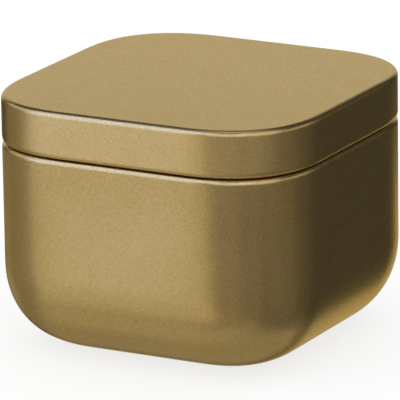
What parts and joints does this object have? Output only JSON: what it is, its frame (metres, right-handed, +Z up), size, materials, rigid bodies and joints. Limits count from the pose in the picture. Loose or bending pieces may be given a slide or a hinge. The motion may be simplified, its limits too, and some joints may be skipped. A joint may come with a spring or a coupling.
{
  "type": "rosin cake in a tin",
  "caption": "Square round-cornered metal tin with a slip-on lid, holding a round cake of bow rosin in its cloth, set in a foam cradle.",
  "frame": {"origin": "centre of the base, on the surface the tin stands on", "axes": "+Z up through the lid, -Y the front, +X to the right seen from the front; the tin is square, so its four sides are alike"},
  "size_m": [0.06, 0.06, 0.0455],
  "materials": {
    "gold_tin": "satin metallic gold lacquer on tinplate",
    "pad_foam": "matt closed-cell foam",
    "cradle_foam": "matt dark foam",
    "cloth": "soft flannel",
    "rosin": "cast translucent amber resin"
  },
  "bodies": {
    "tin": {"tin_body": "gold_tin", "cradle": "cradle_foam"},
    "cake": {"cake_cloth": "cloth", "rosin_cake": "rosin"},
    "lid": {"tin_lid": "gold_tin", "lid_pad": "pad_foam"}
  },
  "joints": [
    {"name": "cake_lift", "type": "slide", "parent": "tin", "child": "cake", "axis": [0, 0, 1], "range_m": [0, 0.034]},
    {"name": "lid_lift", "type": "slide", "parent": "cake", "child": "lid", "axis": [0, 0, 1], "range_m": [0, 0.06]}
  ]
}
